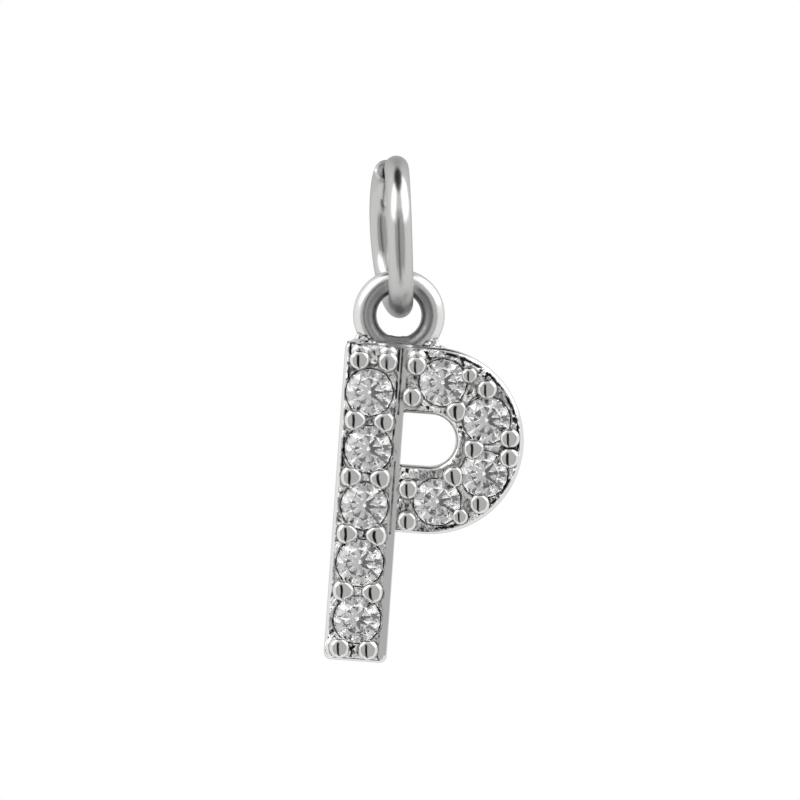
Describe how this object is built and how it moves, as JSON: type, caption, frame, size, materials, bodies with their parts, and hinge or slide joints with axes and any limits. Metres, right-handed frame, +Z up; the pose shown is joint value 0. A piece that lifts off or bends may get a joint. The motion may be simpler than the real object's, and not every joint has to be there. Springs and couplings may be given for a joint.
{
  "type": "initial pendant",
  "caption": "Small letter-P charm set with round stones between bead prongs, with a soldered loop that hangs and swings on a hand-closed round-wire jump ring.",
  "frame": {"origin": "inside top of the jump ring, where it sits on a chain or cord", "axes": "+Z up along the hanging pendant, the stones face -Y, +X to the viewer's right"},
  "size_m": [0.0055, 0.0045, 0.014],
  "materials": {
    "silver_plate": "bright silver-coloured plate on cast brass, polished",
    "clear_stone": "clear cubic zirconia, brilliant cut, polished"
  },
  "bodies": {
    "ring": {"jump_ring": "silver_plate"},
    "letter": {"letter_setting": "silver_plate", "stem_stone_1": "clear_stone", "stem_stone_2": "clear_stone", "stem_stone_3": "clear_stone", "stem_stone_4": "clear_stone", "stem_stone_5": "clear_stone", "bowl_stone_1": "clear_stone", "bowl_stone_2": "clear_stone", "bowl_stone_3": "clear_stone", "bowl_stone_4": "clear_stone"}
  },
  "joints": [
    {"name": "letter_swing", "type": "hinge", "parent": "ring", "child": "letter", "pos_m": [0.00009, 0.00005, -0.00348], "axis": [0, 1, 0], "range_deg": [-120, 135]}
  ]
}
